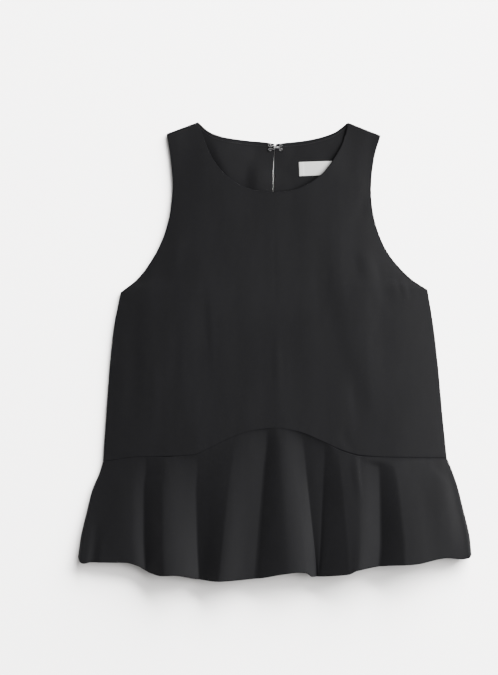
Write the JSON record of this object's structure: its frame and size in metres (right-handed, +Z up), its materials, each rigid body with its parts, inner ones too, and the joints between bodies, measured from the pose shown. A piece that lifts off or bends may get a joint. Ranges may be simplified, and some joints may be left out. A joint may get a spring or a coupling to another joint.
{
  "type": "peplum top",
  "caption": "Sleeveless peplum top laid flat, front up, with a scoop neck, an arched waist seam, a fluted peplum and a back neck slit closed by a hook and eye.",
  "frame": {"origin": "centre of the garment's outline, on the surface that it lies on", "axes": "+X to the right of the picture, +Y from the hem towards the neck, +Z up, out of the front"},
  "size_m": [0.5188, 0.6039, 0.0235],
  "materials": {
    "crepe": "matt black crepe",
    "label": "white woven satin",
    "wire": "nickel-plated wire"
  },
  "bodies": {
    "root": {"front_bodice": "crepe", "back_bodice": "crepe", "front_peplum": "crepe", "back_peplum": "crepe", "neck_label": "label", "hook": "wire", "eye": "wire"}
  },
  "joints": []
}
